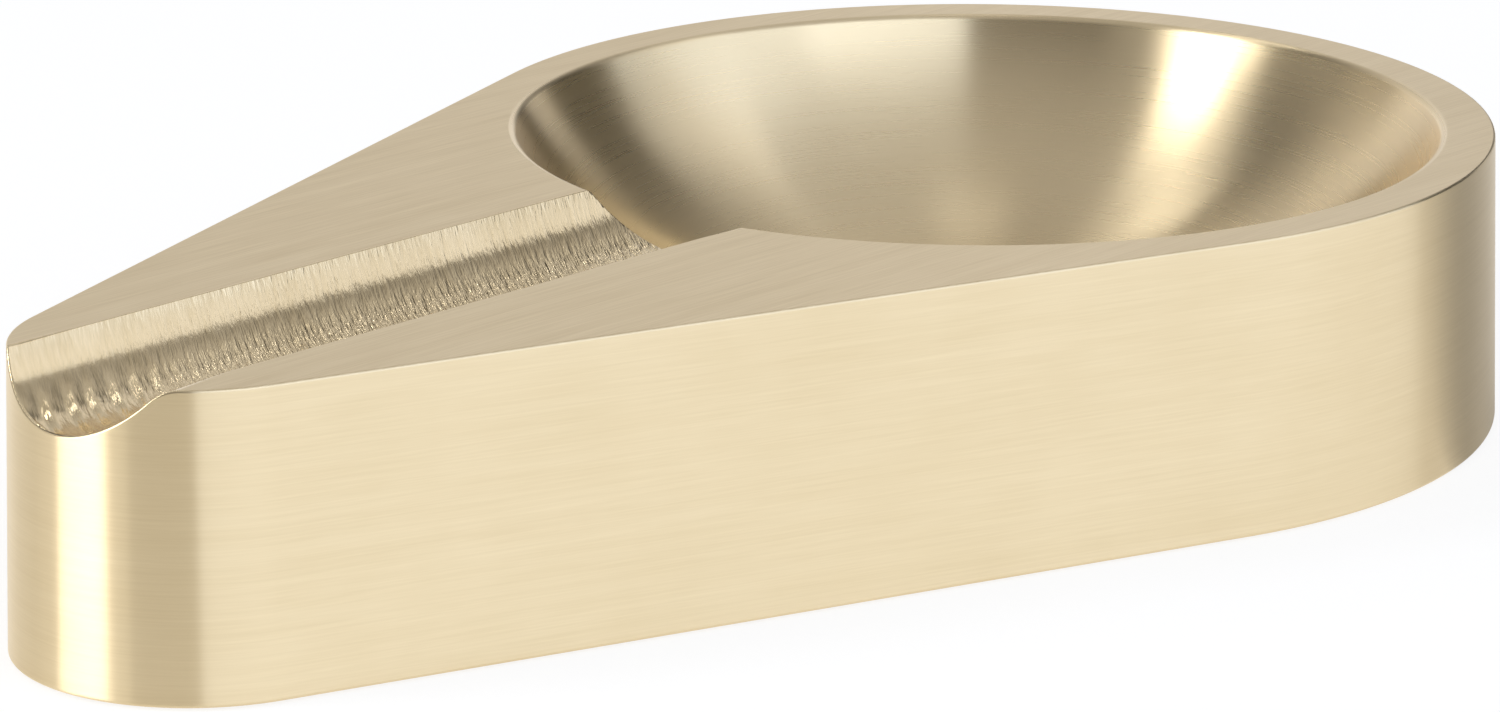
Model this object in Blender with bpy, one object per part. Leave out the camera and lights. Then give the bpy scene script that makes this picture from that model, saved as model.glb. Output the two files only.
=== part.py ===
"""Cigar ashtray: a teardrop block of solid brass with a turned bowl and a milled cigar rest.

The block stands on a cork pad, which an adhesive film holds in a shallow pocket beneath it.
Lengths are in metres. +Z is up, and +X runs from the tip to the round end.
The origin is on the ground, under the middle of the block's length and width.
"""

import math

import bmesh
import bpy

# The top face: a large circle round the bowl, a small one at the tip, and straight sides tangent to both
ROUND_END_RADIUS = 0.0450
TIP_RADIUS = 0.0146
CENTRE_DISTANCE = 0.0918

# The block's height, how far its base stands out past its top face, and its broken edges
BLOCK_HEIGHT = 0.0251
WALL_LEAN = 0.0007
EDGE_BREAK = 0.0003

# The bowl: its wall at the rim, its flat floor, the metal under that floor, and its broken rim
BOWL_WALL = 0.0046
BOWL_FLOOR_RADIUS = 0.0121
BOWL_FLOOR_THICKNESS = 0.0061
RIM_BREAK = 0.0005

# The cigar rest, a round-bottomed groove from the bowl out through the tip
REST_WIDTH = 0.0175
REST_DEPTH = 0.0045
REST_EDGE_BREAK = 0.0002

# The cork pad, the film over it, and how far the pad stands out of its pocket
PAD_THICKNESS = 0.0015
FILM_THICKNESS = 0.0002
PAD_PROUD = 0.0002
POCKET_RIM = 0.0040
PAD_SIDE_CLEARANCE = 0.0003
FILM_SETBACK = 0.0010
SEAT_GAP = 0.0003

# How finely the round shapes are cut into facets
ROUND_END_STEPS = 72
TIP_STEPS = 26
BOWL_STEPS = 96
BOWL_WALL_STEPS = 12
REST_STEPS = 18
SHARP_ANGLE = math.radians(28)

# How far a cutter reaches past the face that it enters by
CUTTER_REACH = 0.0010

# What follows from the sizes above
BOWL_AXIS_X = (CENTRE_DISTANCE + TIP_RADIUS - ROUND_END_RADIUS) / 2
POCKET_DEPTH = PAD_THICKNESS - PAD_PROUD + SEAT_GAP + FILM_THICKNESS + SEAT_GAP
BOWL_RIM_RADIUS = ROUND_END_RADIUS - BOWL_WALL
BOWL_DEPTH = BLOCK_HEIGHT - POCKET_DEPTH - BOWL_FLOOR_THICKNESS
SIDE_ANGLE = math.acos((TIP_RADIUS - ROUND_END_RADIUS) / CENTRE_DISTANCE)


def clear_scene():
    """Removes whatever the scene holds, so that the model starts from nothing."""
    for item in list(bpy.data.objects):
        bpy.data.objects.remove(item)


def material(name, colour, roughness, metallic):
    """A Principled material of one colour."""
    made = bpy.data.materials.new(name)
    made.use_nodes = True
    shader = made.node_tree.nodes["Principled BSDF"]
    shader.inputs["Base Color"].default_value = (*colour, 1.0)
    shader.inputs["Roughness"].default_value = roughness
    shader.inputs["Metallic"].default_value = metallic
    return made


def place(name, mesh, parent, location=(0.0, 0.0, 0.0)):
    """An object that holds the mesh, at a place in its parent's space."""
    item = bpy.data.objects.new(name, mesh)
    bpy.context.collection.objects.link(item)
    item.parent = parent
    item.location = location
    return item


def arc(centre_x, radius, start, end, steps):
    """Points along an arc in the ground plane, its centre on the long axis."""
    points = []
    for step in range(steps + 1):
        angle = start + (end - start) * step / steps
        points.append((centre_x + radius * math.cos(angle), radius * math.sin(angle)))
    return points


def teardrop(offset, height):
    """The teardrop outline, grown by offset, as a ring of points with the bowl's axis at zero."""
    round_end = arc(0.0, ROUND_END_RADIUS + offset, -SIDE_ANGLE, SIDE_ANGLE, ROUND_END_STEPS)
    tip_start = SIDE_ANGLE
    tip_end = 2 * math.pi - SIDE_ANGLE
    tip = arc(-CENTRE_DISTANCE, TIP_RADIUS + offset, tip_start, tip_end, TIP_STEPS)
    return [(x, y, height) for x, y in round_end + tip]


def loft(name, rings):
    """A closed mesh through rings of equal length, with a flat face over its first and last ring."""
    shape = bmesh.new()
    rows = [[shape.verts.new(point) for point in ring] for ring in rings]
    shape.faces.new(reversed(rows[0]))
    shape.faces.new(rows[-1])
    count = len(rows[0])
    for lower, upper in zip(rows, rows[1:]):
        for i in range(count):
            j = (i + 1) % count
            shape.faces.new((lower[i], lower[j], upper[j], upper[i]))
    bmesh.ops.recalc_face_normals(shape, faces=shape.faces)
    return finish_mesh(name, shape)


def turn(name, profile, steps):
    """A closed mesh made by turning a profile of (radius, height) points about the vertical axis."""
    shape = bmesh.new()
    line = [shape.verts.new((radius, 0.0, height)) for radius, height in profile]
    edges = [shape.edges.new(pair) for pair in zip(line, line[1:])]
    bmesh.ops.spin(
        shape,
        geom=line + edges,
        cent=(0.0, 0.0, 0.0),
        axis=(0.0, 0.0, 1.0),
        angle=2 * math.pi,
        steps=steps,
        use_merge=True,
        use_duplicate=False,
    )
    bmesh.ops.remove_doubles(shape, verts=shape.verts, dist=1e-7)
    bmesh.ops.recalc_face_normals(shape, faces=shape.faces)
    return finish_mesh(name, shape)


def finish_mesh(name, shape):
    """Turns the working shape into a mesh that is smooth except at its corners."""
    mesh = bpy.data.meshes.new(name)
    shape.to_mesh(mesh)
    shape.free()
    mesh.shade_smooth()
    mesh.set_sharp_from_angle(angle=SHARP_ANGLE)
    return mesh


def cut(body, cutter):
    """Takes the cutter's shape out of the body, and leaves the cutter out of the render."""
    cutter.hide_render = True
    cutter.display_type = "WIRE"
    removal = body.modifiers.new(cutter.name, "BOOLEAN")
    removal.operation = "DIFFERENCE"
    removal.solver = "EXACT"
    removal.object = cutter


def settle(body, cutters):
    """Makes the cuts final, so that the new corners are sharp, and removes the cutters."""
    view = bpy.context.evaluated_depsgraph_get()
    mesh = bpy.data.meshes.new_from_object(body.evaluated_get(view))
    body.modifiers.clear()
    body.data = mesh
    mesh.shade_smooth()
    mesh.set_sharp_from_angle(angle=SHARP_ANGLE)
    for cutter in cutters:
        bpy.data.objects.remove(cutter)


def block_mesh():
    """The uncut block: leaning walls between a broken lower edge and a broken upper one."""
    upper_wall = BLOCK_HEIGHT - EDGE_BREAK
    lower_offset = WALL_LEAN * (1 - EDGE_BREAK / BLOCK_HEIGHT)
    upper_offset = WALL_LEAN * EDGE_BREAK / BLOCK_HEIGHT
    rings = [
        teardrop(lower_offset - EDGE_BREAK, 0.0),
        teardrop(lower_offset, EDGE_BREAK),
        teardrop(upper_offset, upper_wall),
        teardrop(upper_offset - EDGE_BREAK, BLOCK_HEIGHT),
    ]
    return loft("brass_body", rings)


def bowl_wall_arc():
    """Radius of the one arc that leaves the bowl's floor flat and meets the rim."""
    run = BOWL_RIM_RADIUS - BOWL_FLOOR_RADIUS
    return (run**2 + BOWL_DEPTH**2) / (2 * BOWL_DEPTH)


def bowl_cutter_mesh():
    """The bowl's space: a flat floor, an arc that steepens to the rim, and a flare that breaks the rim."""
    floor = BLOCK_HEIGHT - BOWL_DEPTH
    wall = bowl_wall_arc()
    break_height = BOWL_DEPTH - RIM_BREAK
    last_angle = math.acos(1 - break_height / wall)
    profile = [(0.0, floor)]
    for step in range(BOWL_WALL_STEPS + 1):
        angle = last_angle * step / BOWL_WALL_STEPS
        radius = BOWL_FLOOR_RADIUS + wall * math.sin(angle)
        profile.append((radius, floor + wall * (1 - math.cos(angle))))
    flare = RIM_BREAK + CUTTER_REACH
    mouth = (profile[-1][0] + flare, profile[-1][1] + flare)
    profile.append(mouth)
    profile.append((0.0, mouth[1]))
    return turn("bowl_cutter", profile, BOWL_STEPS)


def rest_section(along):
    """The cigar rest's round-bottomed section, flared to break its edges, at one place along."""
    radius = (REST_WIDTH**2 / 4 + REST_DEPTH**2) / (2 * REST_DEPTH)
    centre = BLOCK_HEIGHT - REST_DEPTH + radius
    half_angle = math.acos((radius - REST_DEPTH + REST_EDGE_BREAK) / radius)
    section = []
    for step in range(REST_STEPS + 1):
        angle = half_angle * (2 * step / REST_STEPS - 1)
        section.append((along, radius * math.sin(angle), centre - radius * math.cos(angle)))
    flare = REST_EDGE_BREAK + CUTTER_REACH
    lip_y = section[-1][1] + flare
    lip_z = section[-1][2] + flare
    return section + [(along, lip_y, lip_z), (along, -lip_y, lip_z)]


def rest_cutter_mesh():
    """The rest's space, from the bowl's axis to past the tip."""
    past_tip = -(CENTRE_DISTANCE + TIP_RADIUS + WALL_LEAN + CUTTER_REACH)
    return loft("rest_cutter", [rest_section(past_tip), rest_section(0.0)])


def sheet_mesh(name, setback, thickness):
    """A flat teardrop sheet, set back from the block's outline at its base."""
    offset = WALL_LEAN - setback
    return loft(name, [teardrop(offset, 0.0), teardrop(offset, thickness)])


def pocket_cutter_mesh():
    """The pocket's space, open downwards."""
    offset = WALL_LEAN - POCKET_RIM
    return loft("pocket_cutter", [teardrop(offset, -CUTTER_REACH), teardrop(offset, POCKET_DEPTH)])


def build_body(parent):
    """The brass block with its bowl, cigar rest and pad pocket."""
    body = place("brass_body", block_mesh(), parent, (0.0, 0.0, PAD_PROUD))
    cutters = [
        place("bowl_cutter", bowl_cutter_mesh(), body),
        place("rest_cutter", rest_cutter_mesh(), body),
        place("pocket_cutter", pocket_cutter_mesh(), body),
    ]
    for cutter in cutters:
        cut(body, cutter)
    settle(body, cutters)
    body.data.materials.append(material("satin_brass", (0.76, 0.63, 0.38), 0.3, 1.0))


def build_pad(parent):
    """The cork pad that the block stands on."""
    setback = POCKET_RIM + PAD_SIDE_CLEARANCE
    pad = place("cork_pad", sheet_mesh("cork_pad", setback, PAD_THICKNESS), parent)
    pad.data.materials.append(material("pressed_cork", (0.36, 0.21, 0.11), 0.9, 0.0))


def build_film(parent):
    """The adhesive film between the pad and the roof of its pocket."""
    setback = POCKET_RIM + PAD_SIDE_CLEARANCE + FILM_SETBACK
    film_mesh = sheet_mesh("adhesive_film", setback, FILM_THICKNESS)
    film = place("adhesive_film", film_mesh, parent, (0.0, 0.0, PAD_THICKNESS + SEAT_GAP))
    film.data.materials.append(material("clear_adhesive", (0.80, 0.78, 0.70), 0.4, 0.0))


def main():
    clear_scene()
    ashtray = place("ashtray", None, None, (BOWL_AXIS_X, 0.0, 0.0))
    build_body(ashtray)
    build_pad(ashtray)
    build_film(ashtray)


main()
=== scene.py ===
"""Looks of the teardrop cigar ashtray: brushed, turned and milled brass on a cork pad, in a pale studio.

Lengths are in metres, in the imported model's frame: +X from the tip to the round end, +Z up.
"""

import bisect
import math
import random

import bmesh
import bpy
from mathutils import Matrix, Vector
from mathutils.kdtree import KDTree
from mathutils.noise import noise as noise_at


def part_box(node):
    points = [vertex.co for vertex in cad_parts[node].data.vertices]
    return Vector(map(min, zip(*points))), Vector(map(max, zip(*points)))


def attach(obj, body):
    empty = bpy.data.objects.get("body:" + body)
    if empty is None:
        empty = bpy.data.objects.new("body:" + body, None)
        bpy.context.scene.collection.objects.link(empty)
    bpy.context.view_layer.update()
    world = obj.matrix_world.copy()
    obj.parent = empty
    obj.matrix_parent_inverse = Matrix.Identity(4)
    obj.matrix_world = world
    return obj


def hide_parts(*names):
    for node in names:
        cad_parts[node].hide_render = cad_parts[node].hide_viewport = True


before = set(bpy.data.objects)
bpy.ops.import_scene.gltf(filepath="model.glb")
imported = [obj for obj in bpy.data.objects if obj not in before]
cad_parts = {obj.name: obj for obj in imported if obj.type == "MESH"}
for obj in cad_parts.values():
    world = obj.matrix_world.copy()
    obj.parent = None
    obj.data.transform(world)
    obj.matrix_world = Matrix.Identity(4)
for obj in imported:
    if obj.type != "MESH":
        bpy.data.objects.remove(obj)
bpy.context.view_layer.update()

# The block's outline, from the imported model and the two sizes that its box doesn't give
BLOCK_LOW, BLOCK_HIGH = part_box("brass_body")
BASE_Z = BLOCK_LOW[2]
TOP_Z = BLOCK_HIGH[2]
WALL_LEAN = 0.0007
TIP_RADIUS = 0.0146
ROUND_END_RADIUS = BLOCK_HIGH[1] - WALL_LEAN
BOWL_AXIS_X = BLOCK_HIGH[0] - BLOCK_HIGH[1]
TIP_AXIS_X = BLOCK_LOW[0] + TIP_RADIUS + WALL_LEAN
TIP_END_X = TIP_AXIS_X - TIP_RADIUS - WALL_LEAN
SIDE_ANGLE = math.acos((TIP_RADIUS - ROUND_END_RADIUS) / (BOWL_AXIS_X - TIP_AXIS_X))

# The bowl, the cigar rest and the pad's pocket, with depths within 0.1 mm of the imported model's
BOWL_RIM_RADIUS = 0.0404
BOWL_FLOOR_RADIUS = 0.0121
BOWL_DEPTH = 0.0170
REST_WIDTH = 0.0175
REST_DEPTH = 0.0045
POCKET_RIM = 0.0040
POCKET_DEPTH = 0.0020

# How far a cutter reaches past the face that it enters by
CUTTER_REACH = 0.0010

# How closely a face follows the level or the wall, as a cosine, to count as part of it
LEVEL = 0.9999
ON_WALL = 0.998

# How finely the block is cut into facets
ROUND_END_STEPS = 218
TIP_STEPS = 96
BOWL_STEPS = 240
BOWL_WALL_STEPS = 40
REST_STEPS = 44

# The block's surfaces, and the widths of the broken edges between two of them
SIDE, TOP, BOWL, REST, UNDER = range(5)
EDGE_WIDTHS = {
    frozenset((SIDE, TOP)): 0.00022,
    frozenset((REST, SIDE)): 0.00022,
    frozenset((SIDE, UNDER)): 0.00030,
}

# How edges are broken: the width that a weight of 1 stands for, the facets across an edge, the least angle
# of a corner, the shortest edge that stays on a corner, the distance at which two points are one, and how
# far the lines beside a corner are cleared away
FULL_WIDTH = 0.0010
BEVEL_SEGMENTS = 4
CORNER = math.radians(30)
SHORT_EDGE = 0.00025
SAME_PLACE = 1e-6
BESIDE = 0.00080

# The rounding of the bowl's rim, and of the rest's two long edges, which grows towards the tip and the
# bowl. The far edge has only a share of that growth
RIM_ROUNDING = 0.00080
REST_ROUNDING = 0.00016
TIP_ROUNDING = 0.0034
TIP_ROUNDING_REACH = 0.012
BOWL_ROUNDING = 0.0008
BOWL_ROUNDING_REACH = 0.0045
FAR_SHARE = 0.15

# How finely a rounding is cut, and the nearly level slope on which it meets the top face
ROUNDING_SECTIONS = 16
ROUNDING_STEPS = 9
RUN_OUT = math.radians(4)
RUN_OUT_LENGTH = 0.0005

# Tool marks across the rest. Their lines start before the tip, run at a slant and waver a little, and the
# rest is cut into slices narrow enough to carry them
MARK_SEED = 4
MARK_LEAD = 0.01
MARK_STRENGTH = (0.35, 1.0)
MARK_SLANT = -0.52
MARK_WOBBLE = 0.00010
WOBBLES_PER_METRE = 260
SLICE_WIDTH = 0.00009
SLICE_TOLERANCE = 1e-7

# The fine marks: hollows along the whole rest, deeper on its near side, faint near the tip, and uneven
FINE_SPACING = (0.00030, 0.00075)
FINE_DEPTH_NEAR = 0.000060
FINE_DEPTH_FAR = 0.000012
TIP_FINE_SHARE = 0.10
TIP_FINE_REACH = 0.026
SWING_LEAST = 0.1
SWING_MEAN = 0.4
SWING_RANGE = 1.4
SWINGS_ALONG = 1100
SWINGS_ACROSS = 380
SWING_LAYER = 3.0

# The coarse marks: steps near the tip. A short slope faces the tip, and a long one leads back up
COARSE_SPACING = (0.0013, 0.0026)
COARSE_SLOPE = 0.46
COARSE_STEEP_SHARE = 0.32
COARSE_LEAST = 0.85
COARSE_FULL = 0.007
COARSE_FADE = 0.014

# How the marks fade out up the rest's far wall, and towards its edges
NEAR_MARKS_END = 0.0062
NEAR_MARKS_FADE = 0.0032
EDGE_FADE = 0.0004


def arc(centre_x, radius, start, end, steps):
    """Points along an arc in the ground plane, its centre on the long axis."""
    points = []
    for step in range(steps + 1):
        angle = start + (end - start) * step / steps
        points.append((centre_x + radius * math.cos(angle), radius * math.sin(angle)))
    return points


def teardrop(offset, height):
    """The teardrop outline, grown by offset, as a ring of points at one height."""
    round_end = arc(BOWL_AXIS_X, ROUND_END_RADIUS + offset, -SIDE_ANGLE, SIDE_ANGLE, ROUND_END_STEPS)
    tip_end = 2 * math.pi - SIDE_ANGLE
    tip = arc(TIP_AXIS_X, TIP_RADIUS + offset, SIDE_ANGLE, tip_end, TIP_STEPS)
    return [(x, y, height) for x, y in round_end + tip]


def loft(shape, rings, wall, low_cap, high_cap):
    """Faces through rings of equal length, with a flat face over each end, on the surfaces given."""
    rows = [[shape.verts.new(point) for point in ring] for ring in rings]
    shape.faces.new(reversed(rows[0])).material_index = low_cap
    shape.faces.new(rows[-1]).material_index = high_cap
    count = len(rows[0])
    for lower, upper in zip(rows, rows[1:]):
        for i in range(count):
            j = (i + 1) % count
            shape.faces.new((lower[i], lower[j], upper[j], upper[i])).material_index = wall
    bmesh.ops.recalc_face_normals(shape, faces=shape.faces)


def to_object(name, shape, materials):
    """An object that holds the working shape, with one material slot for each surface."""
    mesh = bpy.data.meshes.new(name)
    shape.to_mesh(mesh)
    shape.free()
    for item in materials:
        mesh.materials.append(item)
    made = bpy.data.objects.new(name, mesh)
    bpy.context.collection.objects.link(made)
    return made


def uncut_block(materials):
    """The block before its bowl, rest and pocket are cut."""
    shape = bmesh.new()
    loft(shape, [teardrop(WALL_LEAN, BASE_Z), teardrop(0.0, TOP_Z)], SIDE, UNDER, TOP)
    return to_object("ashtray_block", shape, materials)


def run_out(centre, height, rounding, slope):
    """A convex arc from a wall of the given slope nearly to level, and the cutter's way out above it."""
    points = []
    start = math.pi / 2 + slope
    end = math.pi / 2 + RUN_OUT
    for step in range(ROUNDING_STEPS + 1):
        angle = start + (end - start) * step / ROUNDING_STEPS
        points.append((centre + rounding * math.cos(angle), height + rounding * math.sin(angle)))
    edge_x, edge_z = points[-1]
    out_x = edge_x + RUN_OUT_LENGTH
    points.append((out_x, edge_z + RUN_OUT_LENGTH * math.tan(RUN_OUT)))
    points.append((out_x, TOP_Z + CUTTER_REACH))
    return points


def bowl_profile():
    """Points of the bowl's wall as (radius, height), from its flat floor over its rounded rim."""
    run = BOWL_RIM_RADIUS - BOWL_FLOOR_RADIUS
    wall_radius = (run**2 + BOWL_DEPTH**2) / (2 * BOWL_DEPTH)
    wall_z = TOP_Z - BOWL_DEPTH + wall_radius
    rim_z = TOP_Z - RIM_ROUNDING
    meeting = math.acos((wall_z - rim_z) / (wall_radius + RIM_ROUNDING))
    rim_x = BOWL_FLOOR_RADIUS + (wall_radius + RIM_ROUNDING) * math.sin(meeting)
    profile = []
    for step in range(BOWL_WALL_STEPS):
        angle = meeting * step / BOWL_WALL_STEPS
        across = BOWL_FLOOR_RADIUS + wall_radius * math.sin(angle)
        profile.append((across, TOP_Z - BOWL_DEPTH + wall_radius * (1 - math.cos(angle))))
    return profile + run_out(rim_x, rim_z, RIM_ROUNDING, meeting)


def bowl_cutter(materials):
    """The bowl's space, turned about its axis."""
    rings = []
    for radius, height in bowl_profile():
        ring = []
        for step in range(BOWL_STEPS):
            angle = 2 * math.pi * step / BOWL_STEPS
            ring.append((BOWL_AXIS_X + radius * math.cos(angle), radius * math.sin(angle), height))
        rings.append(ring)
    shape = bmesh.new()
    loft(shape, rings, BOWL, BOWL, BOWL)
    return to_object("bowl_cutter", shape, materials)


def rest_half_section(rounding):
    """Half of the rest's section as (across, height), from its bottom over its rounded edge."""
    tool_radius = (REST_WIDTH**2 / 4 + REST_DEPTH**2) / (2 * REST_DEPTH)
    tool_z = TOP_Z - REST_DEPTH + tool_radius
    arc_z = TOP_Z - rounding
    arc_y = math.sqrt((tool_radius + rounding) ** 2 - (tool_z - arc_z) ** 2)
    meeting = math.atan2(arc_y, tool_z - arc_z)
    section = []
    for step in range(REST_STEPS // 2):
        angle = meeting * step / (REST_STEPS // 2)
        section.append((tool_radius * math.sin(angle), tool_z - tool_radius * math.cos(angle)))
    return section + run_out(arc_y, arc_z, rounding, meeting)


def smoothstep(value):
    """A soft step from 0 to 1."""
    value = min(max(value, 0.0), 1.0)
    return value * value * (3 - 2 * value)


def rest_cutter(materials):
    """The rest's space, from inside the bowl out past the tip, with its edges rounded off at both ends."""
    mouth = BOWL_AXIS_X - BOWL_RIM_RADIUS
    steps = [step / ROUNDING_SECTIONS for step in range(ROUNDING_SECTIONS + 1)]
    places = [TIP_END_X - CUTTER_REACH]
    places += [TIP_END_X + TIP_ROUNDING_REACH * step for step in steps]
    places += [mouth - BOWL_ROUNDING_REACH * (1 - step) for step in steps]
    places.append(BOWL_AXIS_X)
    rings = []
    for along in places:
        near_tip = 1 - smoothstep((along - TIP_END_X) / TIP_ROUNDING_REACH)
        near_bowl = 1 - smoothstep((mouth - along) / BOWL_ROUNDING_REACH)
        growth = (TIP_ROUNDING - REST_ROUNDING) * near_tip + (BOWL_ROUNDING - REST_ROUNDING) * near_bowl
        near = rest_half_section(REST_ROUNDING + growth)
        far = rest_half_section(REST_ROUNDING + growth * FAR_SHARE)
        section = [(-y, z) for y, z in reversed(near[1:])] + far
        rings.append([(along, y, z) for y, z in section])
    shape = bmesh.new()
    loft(shape, rings, REST, REST, REST)
    return to_object("rest_cutter", shape, materials)


def pocket_cutter(materials):
    """The pad's pocket, open downwards."""
    shape = bmesh.new()
    offset = WALL_LEAN - POCKET_RIM
    rings = [teardrop(offset, BASE_Z - CUTTER_REACH), teardrop(offset, BASE_Z + POCKET_DEPTH)]
    loft(shape, rings, UNDER, UNDER, UNDER)
    return to_object("pocket_cutter", shape, materials)


def apply_modifiers(item):
    """Makes the object's modifiers final in its mesh."""
    view = bpy.context.evaluated_depsgraph_get()
    mesh = bpy.data.meshes.new_from_object(item.evaluated_get(view))
    item.modifiers.clear()
    old = item.data
    item.data = mesh
    bpy.data.meshes.remove(old)


def cut(item, cutters):
    """Takes the cutters' shapes out of the object and removes the cutters."""
    for cutter in cutters:
        removal = item.modifiers.new(cutter.name, "BOOLEAN")
        removal.operation = "DIFFERENCE"
        removal.solver = "EXACT"
        removal.material_mode = "INDEX"
        removal.object = cutter
    apply_modifiers(item)
    for cutter in cutters:
        bpy.data.objects.remove(cutter)


def surfaces_at(element):
    """The surfaces that meet at an edge or a vertex."""
    return frozenset(face.material_index for face in element.link_faces)


def clear_beside(shape, corners):
    """Takes away the lines across the rest that lie too close beside a corner that will be broken."""
    samples = []
    for edge in corners:
        start, end = (vertex.co for vertex in edge.verts)
        steps = 1 + int((end - start).length / SHORT_EDGE)
        samples += [start.lerp(end, step / steps) for step in range(steps + 1)]
    tree = KDTree(len(samples))
    for index, place in enumerate(samples):
        tree.insert(place, index)
    tree.balance()
    beside = []
    for edge in shape.edges:
        start, end = (vertex.co for vertex in edge.verts)
        if surfaces_at(edge) != {REST} or abs(end.x - start.x) > SAME_PLACE:
            continue
        if min(tree.find(start)[2], tree.find(end)[2]) < BESIDE:
            beside.append(edge)
    bmesh.ops.dissolve_edges(shape, edges=beside, use_verts=True, use_face_split=False)


def join_close_corners(shape):
    """Joins the corner points that lie closer together than a broken edge can be cut between."""
    while True:
        joined = {}
        used = set()
        for edge in shape.edges:
            first, second = edge.verts
            if surfaces_at(edge) not in EDGE_WIDTHS or edge.calc_length() > SHORT_EDGE:
                continue
            if first in used or second in used:
                continue
            if len(surfaces_at(first)) > len(surfaces_at(second)):
                first, second = second, first
            joined[first] = second
            used.update((first, second))
        if not joined:
            return
        bmesh.ops.weld_verts(shape, targetmap=joined)


def break_edges(item):
    """Rounds every corner between two surfaces, each by its own width."""
    shape = bmesh.new()
    shape.from_mesh(item.data)
    bmesh.ops.remove_doubles(shape, verts=shape.verts, dist=SAME_PLACE)
    clear_beside(shape, [edge for edge in shape.edges if surfaces_at(edge) in EDGE_WIDTHS])
    join_close_corners(shape)
    shape.normal_update()
    weights = shape.edges.layers.float.new("bevel_weight_edge")
    for edge in shape.edges:
        if edge.calc_face_angle(0.0) > CORNER:
            edge[weights] = EDGE_WIDTHS.get(surfaces_at(edge), 0.0) / FULL_WIDTH
    shape.to_mesh(item.data)
    shape.free()
    bevel = item.modifiers.new("broken_edges", "BEVEL")
    bevel.limit_method = "WEIGHT"
    bevel.width = FULL_WIDTH
    bevel.segments = BEVEL_SEGMENTS
    bevel.use_clamp_overlap = False
    bevel.loop_slide = False
    apply_modifiers(item)


def mark_lines(source, spacing):
    """The places where one tool mark ends and the next begins, with each mark's own strength."""
    lines = [(TIP_END_X - MARK_LEAD, 1.0)]
    while lines[-1][0] < BOWL_AXIS_X:
        place = lines[-1][0] + source.uniform(*spacing)
        lines.append((place, source.uniform(*MARK_STRENGTH)))
    return lines


def mark_at(lines, place):
    """The start, the end and the strength of the tool mark at a place."""
    index = bisect.bisect_right(lines, (place, math.inf)) - 1
    index = min(max(index, 0), len(lines) - 2)
    start, strength = lines[index]
    return start, lines[index + 1][0], strength


def fine_hollow(lines, place):
    """How deep a fine mark is at a place, from 0 to 1."""
    start, end, strength = mark_at(lines, place)
    middle = (start + end) / 2
    half = (end - start) / 2
    return strength * max(0.0, 1 - ((place - middle) / half) ** 2)


def coarse_step(lines, place):
    """How deep a coarse mark is at a place, in metres."""
    start, end, strength = mark_at(lines, place)
    across = min(max((place - start) / (end - start), 0.0), 1.0)
    share = min(across / (1 - COARSE_STEEP_SHARE), (1 - across) / COARSE_STEEP_SHARE)
    deepest = COARSE_SLOPE * COARSE_STEEP_SHARE * (end - start)
    return deepest * (COARSE_LEAST + (1 - COARSE_LEAST) * strength) * share


def mark_depth(x, y, fine, coarse):
    """How deep the fine and coarse marks together are at a place in the rest."""
    wobble = MARK_WOBBLE * noise_at(Vector((x * WOBBLES_PER_METRE, y * WOBBLES_PER_METRE, 0.0)))
    place = x + MARK_SLANT * y + wobble
    unevenness = noise_at(Vector((place * SWINGS_ALONG, y * SWINGS_ACROSS, SWING_LAYER)))
    swing = max(SWING_LEAST, SWING_MEAN + SWING_RANGE * unevenness)
    near_tip = 1 - smoothstep((x - TIP_END_X) / TIP_FINE_REACH)
    nearness = smoothstep((NEAR_MARKS_END - y) / NEAR_MARKS_FADE)
    fine_depth = FINE_DEPTH_FAR + (FINE_DEPTH_NEAR - FINE_DEPTH_FAR) * nearness
    fine_depth *= 1 - (1 - TIP_FINE_SHARE) * near_tip
    coarse_share = 1 - smoothstep((x - TIP_END_X - COARSE_FULL) / COARSE_FADE)
    depth = fine_depth * swing * fine_hollow(fine, place)
    return depth + coarse_share * nearness * coarse_step(coarse, place)


def edge_distance(x, y):
    """How far a place in the rest lies from the nearest of the rest's edges."""
    bowl_reach = BOWL_AXIS_X - math.sqrt(BOWL_RIM_RADIUS**2 - y * y)
    tip_reach = TIP_AXIS_X - math.sqrt(TIP_RADIUS**2 - y * y)
    return min(REST_WIDTH / 2 - abs(y), bowl_reach - x, x - tip_reach)


def slice_rest(shape):
    """Cuts the rest's long faces across, so that they can carry tool marks."""
    faces = [face for face in shape.faces if face.material_index == REST]
    low = min(vertex.co.x for face in faces for vertex in face.verts)
    high = max(vertex.co.x for face in faces for vertex in face.verts)
    for step in range(1, int((high - low) / SLICE_WIDTH)):
        along = low + step * SLICE_WIDTH
        reached = [face for face in faces if max(vertex.co.x for vertex in face.verts) > along]
        geometry = set(reached)
        for face in reached:
            geometry.update(face.edges)
            geometry.update(face.verts)
        result = bmesh.ops.bisect_plane(
            shape,
            geom=list(geometry),
            dist=SLICE_TOLERANCE,
            plane_co=(along, 0.0, 0.0),
            plane_no=(1.0, 0.0, 0.0),
        )
        faces = [item for item in result["geom"] if isinstance(item, bmesh.types.BMFace)]


def mark_rest(item):
    """Sinks the tool's marks into the rest, fading out towards its edges."""
    shape = bmesh.new()
    shape.from_mesh(item.data)
    slice_rest(shape)
    source = random.Random(MARK_SEED)
    fine = mark_lines(source, FINE_SPACING)
    coarse = mark_lines(source, COARSE_SPACING)
    moves = []
    for vertex in shape.verts:
        if surfaces_at(vertex) == {REST}:
            x, y, z = vertex.co
            depth = mark_depth(x, y, fine, coarse)
            moves.append((vertex, vertex.normal * (-depth * smoothstep(edge_distance(x, y) / EDGE_FADE))))
    for vertex, move in moves:
        vertex.co += move
    shape.to_mesh(item.data)
    shape.free()


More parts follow.
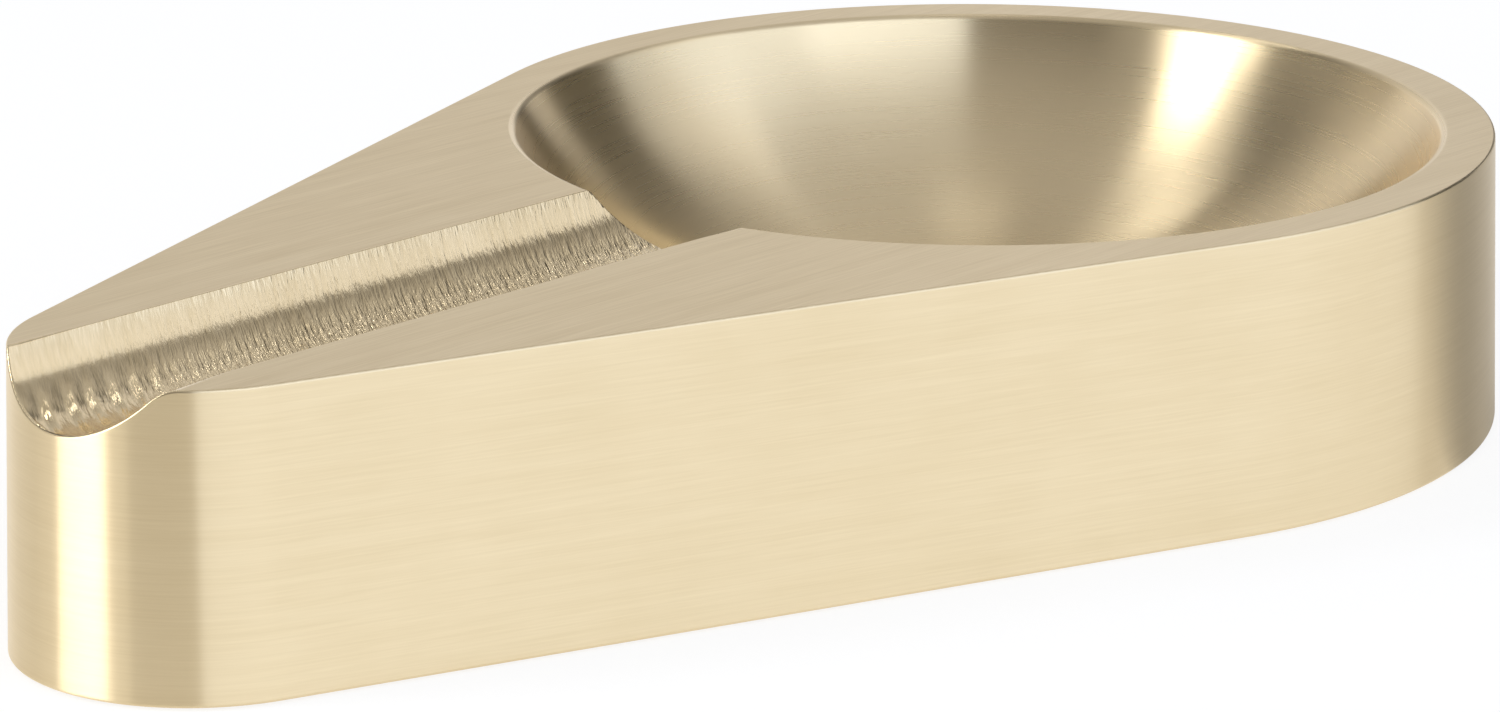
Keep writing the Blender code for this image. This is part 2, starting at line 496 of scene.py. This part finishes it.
def wall_normal(place):
    """The direction that the side wall faces at a place on it."""
    from_bowl = Vector((place.x - BOWL_AXIS_X, place.y))
    from_tip = Vector((place.x - TIP_AXIS_X, place.y))
    if abs(math.atan2(from_bowl.y, from_bowl.x)) <= SIDE_ANGLE:
        level = from_bowl.normalized()
    elif abs(math.atan2(from_tip.y, from_tip.x)) >= SIDE_ANGLE:
        level = from_tip.normalized()
    else:
        level = Vector((math.cos(SIDE_ANGLE), math.copysign(math.sin(SIDE_ANGLE), place.y)))
    return Vector((level.x, level.y, WALL_LEAN / (TOP_Z - BASE_Z))).normalized()


def true_normal(face, place):
    """The normal at a place on a flat or on the side wall, or None on any other face."""
    upright = face.normal.z
    if face.material_index in (TOP, BOWL) and upright > LEVEL:
        return Vector((0.0, 0.0, 1.0))
    if face.material_index == UNDER and upright < -LEVEL:
        return Vector((0.0, 0.0, -1.0))
    if face.material_index == SIDE and face.normal.dot(wall_normal(face.calc_center_median())) > ON_WALL:
        return wall_normal(place)
    return None


def vertex_normal(vertex):
    """The vertex's true normal, or the mean of its faces' directions by area."""
    total = Vector()
    for face in vertex.link_faces:
        exact = true_normal(face, vertex.co)
        if exact:
            return exact
        total += face.normal * face.calc_area()
    return total.normalized()


def shade(item):
    """Smooth shading, in which the wall and the flats keep their own direction up to their broken edges."""
    shape = bmesh.new()
    shape.from_mesh(item.data)
    normals = [vertex_normal(vertex) for vertex in shape.verts]
    shape.free()
    mesh = item.data
    mesh.shade_smooth()
    corners = []
    for polygon in mesh.polygons:
        pocket_wall = polygon.material_index == UNDER and abs(polygon.normal.z) < 1 - LEVEL
        for vertex in polygon.vertices:
            corners.append(polygon.normal.copy() if pocket_wall else normals[vertex])
    mesh.normals_split_custom_set(corners)


# Brass as it looks on each surface: its two colours, the wider bands of its grain, the clouds that ignore
# the grain, and how far the grain varies the roughness
BRASS_PALE = (0.89, 0.745, 0.495, 1.0)
BRASS_DEEP = (0.77, 0.625, 0.385, 1.0)
BAND_SCALE = 0.12
BAND_SHARE = 0.5
CLOUDS_PER_METRE = 90.0
CLOUD_SHARE = 0.10
ROUGH_SWING = 0.012

# How fine the grain is, in lines for each metre along it and across it. The turned grain runs round the
# bowl, so along it the number is for one radian
GRAIN_ALONG = 110.0
GRAIN_ACROSS = 5200.0
TURNED_ROUND = 1.2
TURNED_ACROSS = 3120.0
MILLED_ALONG = 420.0
MILLED_ACROSS = 2200.0

# How high the milled grain stands on the rest's far wall, as a share of its height on the near side
FAR_RELIEF = 0.19

# How each surface shines: its roughness, how far that is stretched across the lines, the height of the
# lines, and how strongly they vary the colour
SIDE_SHINE = {"roughness": 0.31, "anisotropy": 1.00, "relief": 3e-6, "streaks": 0.20}
TOP_SHINE = {"roughness": 0.31, "anisotropy": 0.90, "relief": 4e-6, "streaks": 0.45}
BOWL_SHINE = {"roughness": 0.28, "anisotropy": 0.97, "relief": 4e-7, "streaks": 0.05}
REST_SHINE = {"roughness": 0.15, "anisotropy": 0.40, "relief": 3.2e-4, "streaks": 0.36}
UNDER_SHINE = {"roughness": 0.40, "anisotropy": 0.50, "relief": 8e-6, "streaks": 0.45}

# Between what values a noise pattern mostly lies, and the sockets of a Mix node that hold colours
NOISE_LOW = 0.3
NOISE_HIGH = 0.7
MIX_FIRST = 6
MIX_SECOND = 7
MIX_RESULT = 2


def node(tree, kind, settings=None, inputs=None):
    """A shader node with its settings, and each input linked to a socket or set to a value."""
    made = tree.nodes.new("ShaderNode" + kind)
    for name, value in (settings or {}).items():
        setattr(made, name, value)
    for name, value in (inputs or {}).items():
        if isinstance(value, bpy.types.NodeSocket):
            tree.links.new(value, made.inputs[name])
        else:
            made.inputs[name].default_value = value
    return made


def calculated(tree, operation, *values):
    """The result of a calculation on one, two or three numbers."""
    return node(tree, "Math", {"operation": operation}, dict(enumerate(values))).outputs[0]


def vector_math(tree, operation, first, second=None):
    """The result of a vector operation on one or two vectors."""
    inputs = {0: first}
    if second is not None:
        inputs["Scale" if operation == "SCALE" else 1] = second
    made = node(tree, "VectorMath", {"operation": operation}, inputs)
    return made.outputs["Value" if operation in ("LENGTH", "DOT_PRODUCT") else "Vector"]


def part_of(tree, vector, axis):
    """One of a vector's three parts."""
    return node(tree, "SeparateXYZ", None, {"Vector": vector}).outputs[axis]


def blank_material(name):
    """A material with a Principled shader and nothing else set."""
    made = bpy.data.materials.new(name)
    made.use_nodes = True
    return made, made.node_tree, made.node_tree.nodes["Principled BSDF"]


def spread(tree, value, low, high, from_low=NOISE_LOW, from_high=NOISE_HIGH):
    """The value, taken from one range to another."""
    inputs = {"Value": value, "From Min": from_low, "From Max": from_high, "To Min": low, "To Max": high}
    return node(tree, "MapRange", None, inputs).outputs["Result"]


def mixed(tree, share, first, second):
    """A blend of two colours."""
    inputs = {0: share, MIX_FIRST: first, MIX_SECOND: second}
    return node(tree, "Mix", {"data_type": "RGBA"}, inputs).outputs[MIX_RESULT]


def noise(tree, vector, scale=1.0, detail=3.0, roughness=0.6):
    """A cloudy pattern of values between 0 and 1."""
    inputs = {"Vector": vector, "Scale": scale, "Detail": detail, "Roughness": roughness}
    return node(tree, "TexNoise", None, inputs).outputs["Fac"]


def bumped(tree, shader, height, distance, strength=1.0):
    """Gives the shader a relief of the given height map."""
    bump = node(tree, "Bump", None, {"Height": height, "Strength": strength, "Distance": distance})
    tree.links.new(bump.outputs["Normal"], shader.inputs["Normal"])


def even_relief(tree, place):
    """Lines of the same height everywhere."""
    return 1.0


def near_side_relief(tree, place):
    """Lines that stand higher on the rest's near side than on its far wall, and lower at the tip."""
    fade_start = NEAR_MARKS_END - NEAR_MARKS_FADE
    across = spread(tree, part_of(tree, place, "Y"), 1.0, FAR_RELIEF, fade_start, NEAR_MARKS_END)
    tip = TIP_AXIS_X - TIP_RADIUS
    along = spread(tree, part_of(tree, place, "X"), TIP_FINE_SHARE, 1.0, tip, tip + TIP_FINE_REACH)
    return calculated(tree, "MULTIPLY", across, along)


def brass_colour(tree, place, lines, grain, streaks):
    """Pale and deep brass, mixed by the grain, by wider bands of it and by clouds."""
    bands = noise(tree, vector_math(tree, "SCALE", lines, BAND_SCALE), detail=2.0)
    clouds = noise(tree, place, CLOUDS_PER_METRE, detail=2.0)
    blend = 0.5
    for value, share in ((grain, streaks), (bands, streaks * BAND_SHARE), (clouds, CLOUD_SHARE)):
        blend = calculated(tree, "ADD", blend, spread(tree, value, -share, share))
    return mixed(tree, blend, BRASS_DEEP, BRASS_PALE)


def grained_brass(name, grain_vector, tangent, roughness, anisotropy, relief, streaks, share_at=even_relief):
    """Brass with fine lines: grain_vector, tangent and share_at are functions of the tree and the place."""
    made, tree, shader = blank_material(name)
    place = node(tree, "TexCoord").outputs["Object"]
    lines = grain_vector(tree, place)
    grain = noise(tree, lines)
    tree.links.new(brass_colour(tree, place, lines, grain, streaks), shader.inputs["Base Color"])
    rough = spread(tree, grain, roughness - ROUGH_SWING, roughness + ROUGH_SWING)
    tree.links.new(rough, shader.inputs["Roughness"])
    bumped(tree, shader, calculated(tree, "MULTIPLY", grain, share_at(tree, place)), relief)
    tree.links.new(tangent(tree, place), shader.inputs["Tangent"])
    shader.inputs["Metallic"].default_value = 1.0
    shader.inputs["Anisotropic"].default_value = anisotropy
    return made


def fixed_vector(direction):
    """A function that gives the same direction everywhere."""
    return lambda tree, place: node(tree, "CombineXYZ", None, dict(zip("XYZ", direction))).outputs["Vector"]


def stretched(scale):
    """A function that stretches the coordinates by a different amount along each axis."""
    return lambda tree, place: vector_math(tree, "MULTIPLY", place, scale)


def from_bowl_axis(tree, place):
    """The level vector from the bowl's axis to the place."""
    offset = vector_math(tree, "SUBTRACT", place, (BOWL_AXIS_X, 0.0, 0.0))
    return vector_math(tree, "MULTIPLY", offset, (1.0, 1.0, 0.0))


def turned_grain(tree, place):
    """Coordinates that run round the bowl slowly and across its turning lines fast."""
    level = from_bowl_axis(tree, place)
    outward = vector_math(tree, "NORMALIZE", level)
    round_about = vector_math(tree, "MULTIPLY", outward, (TURNED_ROUND, TURNED_ROUND, 0.0))
    across = calculated(tree, "ADD", vector_math(tree, "LENGTH", level), part_of(tree, place, "Z"))
    lines = calculated(tree, "MULTIPLY", across, TURNED_ACROSS)
    upright = node(tree, "CombineXYZ", None, {"Z": lines}).outputs["Vector"]
    return vector_math(tree, "ADD", round_about, upright)


def milled_grain(tree, place):
    """Coordinates that run along the tool marks slowly and across them fast."""
    slanted = (MILLED_ACROSS, MILLED_ACROSS * MARK_SLANT, 0.0)
    across = vector_math(tree, "DOT_PRODUCT", place, slanted)
    lines = node(tree, "CombineXYZ", None, {"X": across}).outputs["Vector"]
    along = vector_math(tree, "MULTIPLY", place, (0.0, MILLED_ALONG, MILLED_ALONG))
    return vector_math(tree, "ADD", lines, along)


def block_materials():
    """The block's five materials, in the order of its surfaces."""
    lengthwise = fixed_vector((1.0, 0.0, 0.0))
    sideways = fixed_vector((0.0, 1.0, 0.0))
    upright = fixed_vector((0.0, 0.0, 1.0))
    side_lines = stretched((GRAIN_ALONG, GRAIN_ALONG, GRAIN_ACROSS))
    level_lines = stretched((GRAIN_ALONG, GRAIN_ACROSS, 1.0))
    return [
        grained_brass("brushed_side", side_lines, upright, **SIDE_SHINE),
        grained_brass("brushed_top", level_lines, sideways, **TOP_SHINE),
        grained_brass("turned_bowl", turned_grain, from_bowl_axis, **BOWL_SHINE),
        grained_brass("milled_rest", milled_grain, lengthwise, share_at=near_side_relief, **REST_SHINE),
        grained_brass("machined_underside", level_lines, sideways, **UNDER_SHINE),
    ]


def build_block():
    """The brass block with its cut and broken surfaces."""
    materials = block_materials()
    block = uncut_block(materials)
    cut(block, [bowl_cutter(materials), rest_cutter(materials), pocket_cutter(materials)])
    break_edges(block)
    mark_rest(block)
    shade(block)
    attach(block, "root")
    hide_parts("brass_body")


# Pressed cork: granules for each metre, the colours between which they vary, the dark gaps between them,
# and a speckle that varies their colour, height and roughness
CORK_GRANULES = 620.0
CORK_PALE = (0.46, 0.285, 0.155, 1.0)
CORK_DARK = (0.20, 0.105, 0.05, 1.0)
CORK_GAP = (0.10, 0.055, 0.03, 1.0)
CORK_GAP_WIDTH = 0.09
CORK_TONES = (-0.25, 0.75)
CORK_SPECKLES = CORK_GRANULES * 6
CORK_SPECKLE_TONE = 0.5
CORK_SPECKLE_HEIGHT = 0.35
CORK_ROUGHNESS = (0.82, 0.95)
CORK_RELIEF = 0.00012
CORK_RELIEF_STRENGTH = 0.8

# The milky film of adhesive: its two colours, its clouds and its ripples for each metre
FILM_CLEAR = (0.78, 0.75, 0.65, 1.0)
FILM_MILKY = (0.86, 0.845, 0.78, 1.0)
FILM_CLOUDS = 160.0
FILM_RIPPLES = 900.0
FILM_ROUGHNESS = (0.28, 0.45)
FILM_RELIEF = 0.00004
FILM_RELIEF_STRENGTH = 0.5


def cork_material():
    """Matte cork: granules of many browns, pressed together with dark gaps between them."""
    made, tree, shader = blank_material("pressed_cork_granules")
    place = node(tree, "TexCoord").outputs["Object"]
    inputs = {"Vector": place, "Scale": CORK_GRANULES}
    cells = node(tree, "TexVoronoi", {"feature": "F1"}, inputs)
    edges = node(tree, "TexVoronoi", {"feature": "DISTANCE_TO_EDGE"}, inputs)
    granule_value = node(tree, "SeparateColor", None, {"Color": cells.outputs["Color"]}).outputs["Red"]
    speckle = noise(tree, place, CORK_SPECKLES, roughness=0.7)
    granule_tone = spread(tree, granule_value, *CORK_TONES, from_low=0.0, from_high=1.0)
    tone = calculated(tree, "MULTIPLY_ADD", speckle, CORK_SPECKLE_TONE, granule_tone)
    granule = mixed(tree, tone, CORK_DARK, CORK_PALE)
    inside = spread(tree, edges.outputs["Distance"], 0.0, 1.0, from_low=0.0, from_high=CORK_GAP_WIDTH)
    tree.links.new(mixed(tree, inside, CORK_GAP, granule), shader.inputs["Base Color"])
    height = calculated(tree, "MULTIPLY_ADD", speckle, CORK_SPECKLE_HEIGHT, inside)
    bumped(tree, shader, height, CORK_RELIEF, CORK_RELIEF_STRENGTH)
    tree.links.new(spread(tree, speckle, *CORK_ROUGHNESS), shader.inputs["Roughness"])
    return made


def film_material():
    """A milky film with faint clouds and small ripples where it was pressed on."""
    made, tree, shader = blank_material("milky_adhesive")
    place = node(tree, "TexCoord").outputs["Object"]
    clouds = noise(tree, place, FILM_CLOUDS, detail=4.0)
    ripples = noise(tree, place, FILM_RIPPLES, detail=2.0)
    colour = mixed(tree, spread(tree, clouds, 0.0, 1.0), FILM_CLEAR, FILM_MILKY)
    tree.links.new(colour, shader.inputs["Base Color"])
    tree.links.new(spread(tree, clouds, *FILM_ROUGHNESS), shader.inputs["Roughness"])
    bumped(tree, shader, ripples, FILM_RELIEF, FILM_RELIEF_STRENGTH)
    return made


def finish_pad():
    """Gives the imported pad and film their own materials."""
    for name, material in (("cork_pad", cork_material()), ("adhesive_film", film_material())):
        for slot in bpy.data.objects[name].material_slots:
            slot.material = material


# Camera, fitted to the photograph
CAMERA_AZIMUTH = math.radians(-46.94)
CAMERA_ELEVATION = math.radians(16.33)
CAMERA_DISTANCE = 0.5855
CAMERA_LENS = 155.67
CAMERA_SENSOR = 36.0
CAMERA_NEAREST = 0.01
CAMERA_ROLL = -0.0018
CAMERA_TARGET = Vector((BOWL_AXIS_X - 0.0040, 0.0234, BASE_Z))

# The studio round the object. Offsets are azimuths in degrees to the right of the camera
STUDIO_CENTRE = Vector((0.0, 0.0, 0.012))
STUDIO_RADIUS = 1.2

# The floor. What sees it directly sees its own glow and a share of the light on it, and reflections see the
# glow a little warmer. Other light bounces off it as off plain white
FLOOR_REACH = 3.0
FLOOR_GAP = 0.00002
FLOOR_GLOW = 0.80
FLOOR_LIT = 0.24
FLOOR_BOUNCE = 0.9
FLOOR_REFLECTED = (1.0, 0.965, 0.90, 1.0)

# A painted shadow in the floor's glow, which only reflections show, in place of the block's soft shadow on
# the
# floor behind the round end: a sector that starts at its root beside the wall and runs out at an offset,
# fades between two angles from its middle, and takes away a share of the glow
SHADE_ROOT_OFFSET = 53
SHADE_ROOT_DISTANCE = 0.042
SHADE_OFFSET = 138
SHADE_INNER = 8
SHADE_OUTER = 24
SHADE_DEPTH = 0.60

# Brightness of the surroundings at three elevations, in (offset, brightness) stops round the object. Above
# them it blends to the brightness of the top
SKY_RINGS = (
    (7, (
        (-180, 0.68), (-168, 0.95), (-142, 1.00), (-130, 0.12), (-108, 0.12), (-100, 0.70), (-86, 0.90),
        (-80, 0.05), (136, 0.05), (140, 0.75), (150, 0.70), (154, 0.08), (163, 0.08), (168, 0.90),
    )),
    (23, (
        (-180, 0.73), (-165, 0.64), (-140, 0.80), (-130, 0.59), (-104, 0.30), (-86, 0.25), (-80, 0.05),
        (162, 0.05), (168, 0.85),
    )),
    (43, (
        (-180, 0.55), (-140, 0.30), (-130, 0.06), (-90, 0.05), (2, 0.20), (130, 0.22), (143, 0.25),
        (151, 0.50), (168, 0.60),
    )),
)
SKY_TOP = 0.5
SKY_TOP_FROM = 60
SKY_TINT = (1.0, 0.98, 0.975)

# The colours of the lamps' light
NEUTRAL = (1.0, 1.0, 1.0)
COOL = (1.0, 1.12, 1.36)
PALE_COOL = (1.0, 1.03, 1.12)

# The lamp panels: name, range of offsets, range of elevations, strength, colour and shape
PANELS = (
    ("key", (-84, -52), (0, 28), 6.0, NEUTRAL, "RECTANGLE"),
    ("key_side", (-52, -38), (0, 28), 0.8, NEUTRAL, "RECTANGLE"),
    ("key_high", (-89, -67), (38, 52), 7.0, NEUTRAL, "ELLIPSE"),
    ("window", (2, 108), (0, 30), 1.28, COOL, "RECTANGLE"),
    ("window_high", (2, 52), (30, 55), 1.6, COOL, "RECTANGLE"),
    ("window_far", (52, 97), (30, 55), 0.95, COOL, "RECTANGLE"),
    ("window_end", (97, 129), (30, 56), 0.70, PALE_COOL, "RECTANGLE"),
    ("glint", (-157, -151), (46, 54), 5.4, NEUTRAL, "RECTANGLE"),
    ("glint_high", (170, 182), (54, 64), 0.9, NEUTRAL, "RECTANGLE"),
)

# The long lamp above: its two ends as (offset, elevation), its thickness in degrees, and its strength
STRIP_START = (-86, 46)
STRIP_END = (-130, 53)
STRIP_THICKNESS = 9
STRIP_STRENGTH = 0.8


def grey(value):
    """A colour without a hue."""
    return (value, value, value, 1.0)


def toward(offset, elevation=0.0):
    """The direction from the object to a place in the studio."""
    azimuth = CAMERA_AZIMUTH + math.radians(offset)
    rise = math.radians(elevation)
    level = math.cos(rise)
    return Vector((math.sin(azimuth) * level, -math.cos(azimuth) * level, math.sin(rise)))


def add_camera():
    """The camera, at the photograph's viewing angle."""
    data = bpy.data.cameras.new("camera")
    data.lens = CAMERA_LENS
    data.sensor_width = CAMERA_SENSOR
    data.clip_start = CAMERA_NEAREST
    camera = bpy.data.objects.new("camera", data)
    bpy.context.collection.objects.link(camera)
    back = Vector((
        math.sin(CAMERA_AZIMUTH) * math.cos(CAMERA_ELEVATION),
        -math.cos(CAMERA_AZIMUTH) * math.cos(CAMERA_ELEVATION),
        math.sin(CAMERA_ELEVATION),
    ))
    camera.location = CAMERA_TARGET + back * CAMERA_DISTANCE
    rotation = (-back).to_track_quat("-Z", "Y").to_euler()
    rotation.rotate_axis("Z", CAMERA_ROLL)
    camera.rotation_euler = rotation
    bpy.context.scene.camera = camera


def seen_directly(tree, path):
    """1 for camera, glossy and transmission rays, which see the floor's own white, and 0 for others."""
    straight = calculated(tree, "MAXIMUM", path.outputs["Is Camera Ray"], path.outputs["Is Glossy Ray"])
    return calculated(tree, "MAXIMUM", straight, path.outputs["Is Transmission Ray"])


def painted_reflected_shadow(tree, path):
    """How much of the floor's glow a place keeps: less in a painted shadow behind the round end, which only
    reflections show.
    """
    place = node(tree, "TexCoord").outputs["Object"]
    root = Vector((BOWL_AXIS_X, 0.0, 0.0)) + toward(SHADE_ROOT_OFFSET) * SHADE_ROOT_DISTANCE
    outward = vector_math(tree, "NORMALIZE", vector_math(tree, "SUBTRACT", place, root))
    nearness = vector_math(tree, "DOT_PRODUCT", outward, toward(SHADE_OFFSET))
    inner = math.cos(math.radians(SHADE_INNER))
    outer = math.cos(math.radians(SHADE_OUTER))
    shadow = spread(tree, nearness, 0.0, SHADE_DEPTH, outer, inner)
    shown = calculated(tree, "MULTIPLY", shadow, path.outputs["Is Glossy Ray"])
    return calculated(tree, "SUBTRACT", 1.0, shown)


def floor_material():
    """A white floor with a glow of its own and a share of the light on it, so a faint shadow stays.

    From below it is clear, so that the underside of the ashtray can be looked at.
    """
    made, tree, shader = blank_material("floor")
    tree.nodes.remove(shader)
    path = node(tree, "LightPath")
    plain = node(tree, "BsdfDiffuse", None, {"Color": grey(FLOOR_BOUNCE)})
    lit = node(tree, "BsdfDiffuse", None, {"Color": grey(FLOOR_LIT)})
    # A painted shadow, seen only in reflections, darkens the glow behind the round end
    strength = calculated(tree, "MULTIPLY", painted_reflected_shadow(tree, path), FLOOR_GLOW)
    tint = mixed(tree, path.outputs["Is Camera Ray"], FLOOR_REFLECTED, grey(1.0))
    glow = node(tree, "Emission", None, {"Color": tint, "Strength": strength})
    white = node(tree, "AddShader", None, {0: lit.outputs[0], 1: glow.outputs[0]})
    direct = seen_directly(tree, path)
    above = node(tree, "MixShader", None, {0: direct, 1: plain.outputs[0], 2: white.outputs[0]})
    below = node(tree, "NewGeometry").outputs["Backfacing"]
    clear = node(tree, "BsdfTransparent")
    shown = node(tree, "MixShader", None, {0: below, 1: above.outputs[0], 2: clear.outputs[0]})
    tree.links.new(shown.outputs[0], tree.nodes["Material Output"].inputs["Surface"])
    return made


def add_floor():
    """The floor, a hair below the pad so that the two faces don't coincide."""
    shape = bmesh.new()
    bmesh.ops.create_grid(shape, x_segments=1, y_segments=1, size=FLOOR_REACH)
    mesh = bpy.data.meshes.new("floor")
    shape.to_mesh(mesh)
    shape.free()
    floor = bpy.data.objects.new("floor", mesh)
    bpy.context.collection.objects.link(floor)
    floor.location.z = -FLOOR_GAP
    mesh.materials.append(floor_material())


def add_lamp(name, shape, width, height, strength, colour):
    """An area lamp that the camera doesn't see. Its power is strength times pi times width times height."""
    data = bpy.data.lights.new(name, "AREA")
    data.shape = shape
    data.size = width
    data.size_y = height
    data.energy = strength * math.pi * data.size * data.size_y
    data.color = colour
    lamp = bpy.data.objects.new(name, data)
    bpy.context.collection.objects.link(lamp)
    lamp.visible_camera = False
    return lamp


def add_panel(name, offsets, elevations, strength, colour, shape):
    """An upright lamp panel that covers a range of offsets and elevations, as seen from the object."""
    away = toward(sum(offsets) / 2)
    low, high = (STUDIO_RADIUS * math.tan(math.radians(angle)) for angle in elevations)
    half = math.radians(offsets[1] - offsets[0]) / 2
    panel = add_lamp(name, shape, 2 * STUDIO_RADIUS * math.tan(half), high - low, strength, colour)
    panel.location = STUDIO_CENTRE + away * STUDIO_RADIUS + Vector((0.0, 0.0, (low + high) / 2))
    panel.rotation_euler = (-away).to_track_quat("-Z", "Y").to_euler()


def add_strip():
    """The long lamp above the object, from one of its ends to the other."""
    start = toward(*STRIP_START) * STUDIO_RADIUS
    end = toward(*STRIP_END) * STUDIO_RADIUS
    along = end - start
    middle = (start + end) / 2
    thickness = 2 * middle.length * math.tan(math.radians(STRIP_THICKNESS / 2))
    strip = add_lamp("strip", "RECTANGLE", along.length, thickness, STRIP_STRENGTH, NEUTRAL)
    side = along.normalized()
    back = middle.normalized()
    strip.location = STUDIO_CENTRE + middle
    strip.rotation_euler = Matrix((side, back.cross(side), back)).transposed().to_euler()


def sky_ring(tree, turn, stops):
    """The brightness round the object at one elevation."""
    ramp = node(tree, "ValToRGB", None, {"Fac": turn})
    elements = ramp.color_ramp.elements
    elements[1].color = grey(stops[-1][1])
    elements[0].color = grey(stops[0][1])
    for offset, brightness in stops[1:]:
        elements.new(0.5 + offset / 360).color = grey(brightness)
    return ramp.outputs["Color"]


def by_height(tree, height, low, high, lower, upper):
    """A blend from one colour to another between two elevations."""
    bottom = math.sin(math.radians(low))
    top = math.sin(math.radians(high))
    return mixed(tree, spread(tree, height, 0.0, 1.0, bottom, top), lower, upper)


def studio_world():
    """Soft surroundings: bright behind the object, dim at the camera's side, white to the camera itself."""
    world = bpy.data.worlds.new("studio")
    world.use_nodes = True
    tree = world.node_tree
    direction = node(tree, "TexCoord").outputs["Generated"]
    across = vector_math(tree, "DOT_PRODUCT", direction, toward(90))
    nearer = vector_math(tree, "DOT_PRODUCT", direction, toward(0))
    angle = calculated(tree, "ARCTAN2", across, nearer)
    turn = spread(tree, angle, 0.0, 1.0, -math.pi, math.pi)
    height = part_of(tree, direction, "Z")
    below, stops = SKY_RINGS[0]
    colour = sky_ring(tree, turn, stops)
    for elevation, stops in SKY_RINGS[1:]:
        colour = by_height(tree, height, below, elevation, colour, sky_ring(tree, turn, stops))
        below = elevation
    colour = by_height(tree, height, below, SKY_TOP_FROM, colour, grey(SKY_TOP))
    tinted = vector_math(tree, "MULTIPLY", colour, SKY_TINT)
    path = node(tree, "LightPath")
    shown = mixed(tree, path.outputs["Is Camera Ray"], tinted, grey(1.0))
    tree.links.new(shown, tree.nodes["Background"].inputs["Color"])
    bpy.context.scene.world = world


def light_studio():
    """The white floor, the lamps and the soft surroundings."""
    add_floor()
    for panel in PANELS:
        add_panel(*panel)
    add_strip()
    studio_world()


build_block()
finish_pad()
add_camera()
light_studio()
bpy.context.scene.view_settings.view_transform = "Standard"
